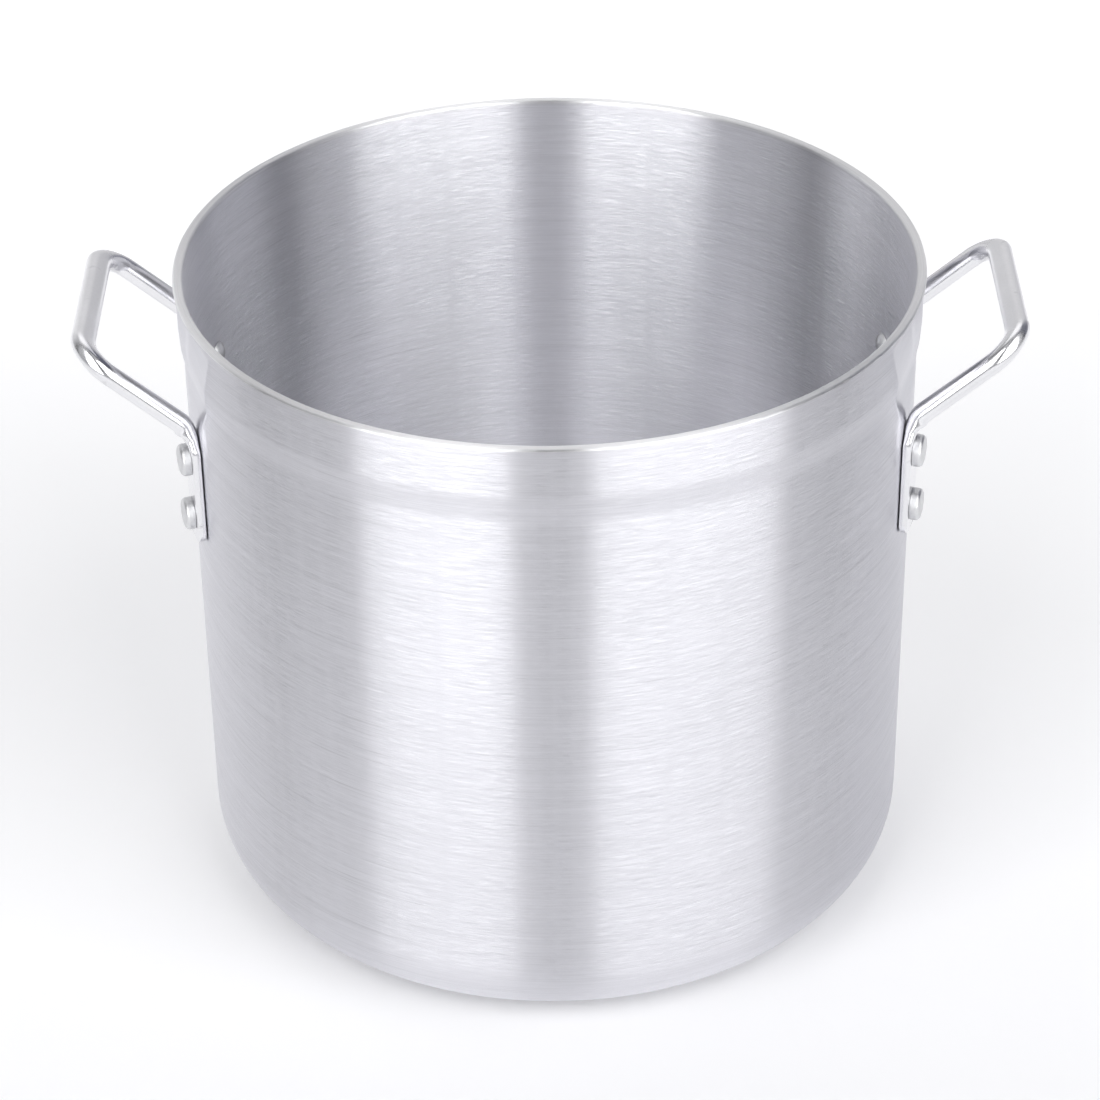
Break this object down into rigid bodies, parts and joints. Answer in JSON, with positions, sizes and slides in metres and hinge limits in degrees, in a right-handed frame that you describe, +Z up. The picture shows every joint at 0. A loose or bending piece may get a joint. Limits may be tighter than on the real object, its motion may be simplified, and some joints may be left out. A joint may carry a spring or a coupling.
{
  "type": "stock pot",
  "caption": "Tall round aluminium stock pot with an open top, a thick rim band, a rounded base corner and riveted bent-rod loop handles.",
  "frame": {"origin": "centre of the base, on the surface the pot stands on", "axes": "+Z up along the pot's axis of revolution; the two handles point along +X and -X"},
  "size_m": [0.4446, 0.356, 0.3284],
  "materials": {
    "pot": "brushed round the pot, satin",
    "handle": "bright plated rod with a satin grip",
    "rivet": "satin"
  },
  "bodies": {
    "root": {"pot_body": "pot", "handle_left": "handle", "handle_right": "handle", "rivet_left_front_upper": "rivet", "rivet_left_front_lower": "rivet", "rivet_left_rear_upper": "rivet", "rivet_left_rear_lower": "rivet", "rivet_right_front_upper": "rivet", "rivet_right_front_lower": "rivet", "rivet_right_rear_upper": "rivet", "rivet_right_rear_lower": "rivet"}
  },
  "joints": []
}
